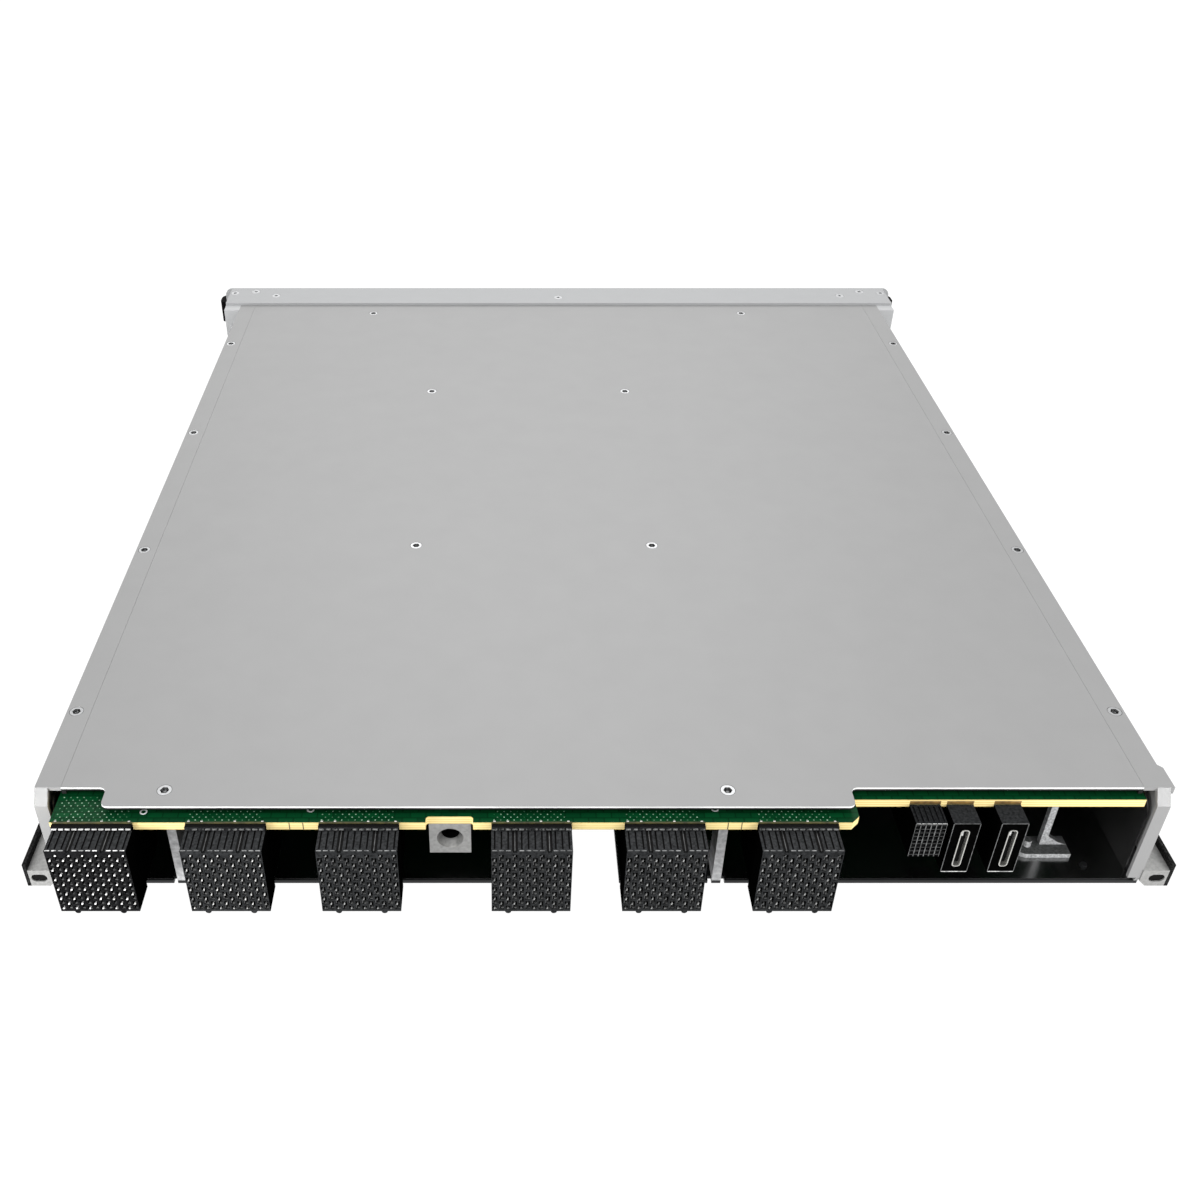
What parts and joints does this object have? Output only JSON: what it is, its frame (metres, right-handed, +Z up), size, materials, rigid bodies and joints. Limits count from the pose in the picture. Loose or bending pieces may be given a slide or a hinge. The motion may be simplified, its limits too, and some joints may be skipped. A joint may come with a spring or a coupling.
{
  "type": "switch line card",
  "caption": "Flat metal line card for a network chassis: rear backplane connectors, front port cages, ejector levers, captive screws and side guide rails.",
  "frame": {"origin": "middle of the card's footprint, at the height of the guide rails' undersides", "axes": "+Z up out of the flat cover, +Y out of the faceplate, +X to the right when the rear connectors are looked at"},
  "size_m": [0.449, 0.512, 0.0485],
  "materials": {
    "connector_plastic": "moulded",
    "power_housing_plastic": "moulded",
    "contact_plating": "plated",
    "cage_steel": "stamped",
    "heatsink_aluminium": "extruded",
    "chip_package": "moulded",
    "brick_shell": "satin",
    "cover_steel": "zinc plated, satin",
    "rail_alloy": "cast",
    "runner_plastic": "moulded",
    "bracket_alloy": "satin",
    "end_bracket_steel": "satin",
    "lever_coating": "black powder coat",
    "screw_steel": "plated",
    "thumbscrew_steel": "plated",
    "tray_steel": "plated",
    "insulating_film": "glossy",
    "faceplate_alloy": "satin",
    "circuit_board": "solder mask",
    "cast_alloy": "cast",
    "receptacle_plastic": "moulded",
    "capacitor_sleeve": "satin",
    "standoff_metal": "plated",
    "ferrule_metal": "plated"
  },
  "bodies": {
    "card": {"board_standoffs": "standoff_metal", "bottom_tray": "tray_steel", "capacitors": "capacitor_sleeve", "corner_bracket": "bracket_alloy", "cover_screws": "screw_steel", "cover_spacers": "standoff_metal", "fabric_connector_1": "connector_plastic", "fabric_connector_2": "connector_plastic", "fabric_connector_3": "connector_plastic", "fabric_connector_4": "connector_plastic", "fabric_connector_5": "connector_plastic", "fabric_connector_6": "connector_plastic", "faceplate": "faceplate_alloy", "flange_screws": "screw_steel", "guide_socket": "cast_alloy", "heatsink_1": "heatsink_aluminium", "heatsink_2": "heatsink_aluminium", "heatsink_3": "heatsink_aluminium", "heatsink_screws": "screw_steel", "insulator_film": "insulating_film", "left_ejector_pin": "screw_steel", "left_end_bracket": "end_bracket_steel", "left_guide_rail": "rail_alloy", "left_rear_post": "bracket_alloy", "left_runner_strip": "runner_plastic", "left_side_frame": "cover_steel", "main_board": "circuit_board", "middle_rear_post": "bracket_alloy", "port_cage_1": "cage_steel", "port_cage_2": "cage_steel", "port_cage_3": "cage_steel", "port_cage_4": "cage_steel", "port_receptacles": "receptacle_plastic", "power_brick_1": "brick_shell", "power_brick_2": "brick_shell", "power_connector_1": "power_housing_plastic", "power_connector_2": "power_housing_plastic", "power_contact_1": "contact_plating", "power_contact_2": "contact_plating", "right_ejector_pin": "screw_steel", "right_end_bracket": "end_bracket_steel", "right_guide_rail": "rail_alloy", "right_runner_strip": "runner_plastic", "right_side_frame": "cover_steel", "signal_connector": "connector_plastic", "strip_screws": "screw_steel", "switch_chip_1": "chip_package", "switch_chip_2": "chip_package", "switch_chip_3": "chip_package", "thumbscrew_ferrules": "ferrule_metal", "top_cover": "cover_steel", "tray_screws": "screw_steel"},
    "left_ejector": {"left_ejector": "lever_coating"},
    "right_ejector": {"right_ejector": "lever_coating"},
    "left_thumbscrew": {"left_thumbscrew": "thumbscrew_steel"},
    "right_thumbscrew": {"right_thumbscrew": "thumbscrew_steel"}
  },
  "joints": [
    {"name": "right_ejector_hinge", "type": "hinge", "parent": "card", "child": "right_ejector", "pos_m": [0.212, 0.224, 0.0305], "axis": [0, 0, -1], "range_deg": [0, 60]},
    {"name": "left_ejector_hinge", "type": "hinge", "parent": "card", "child": "left_ejector", "pos_m": [-0.212, 0.224, 0.0305], "axis": [0, 0, 1], "range_deg": [0, 60]},
    {"name": "right_thumbscrew_slide", "type": "slide", "parent": "card", "child": "right_thumbscrew", "axis": [0, 1, 0], "range_m": [0, 0.004]},
    {"name": "left_thumbscrew_slide", "type": "slide", "parent": "card", "child": "left_thumbscrew", "axis": [0, 1, 0], "range_m": [0, 0.004]}
  ]
}
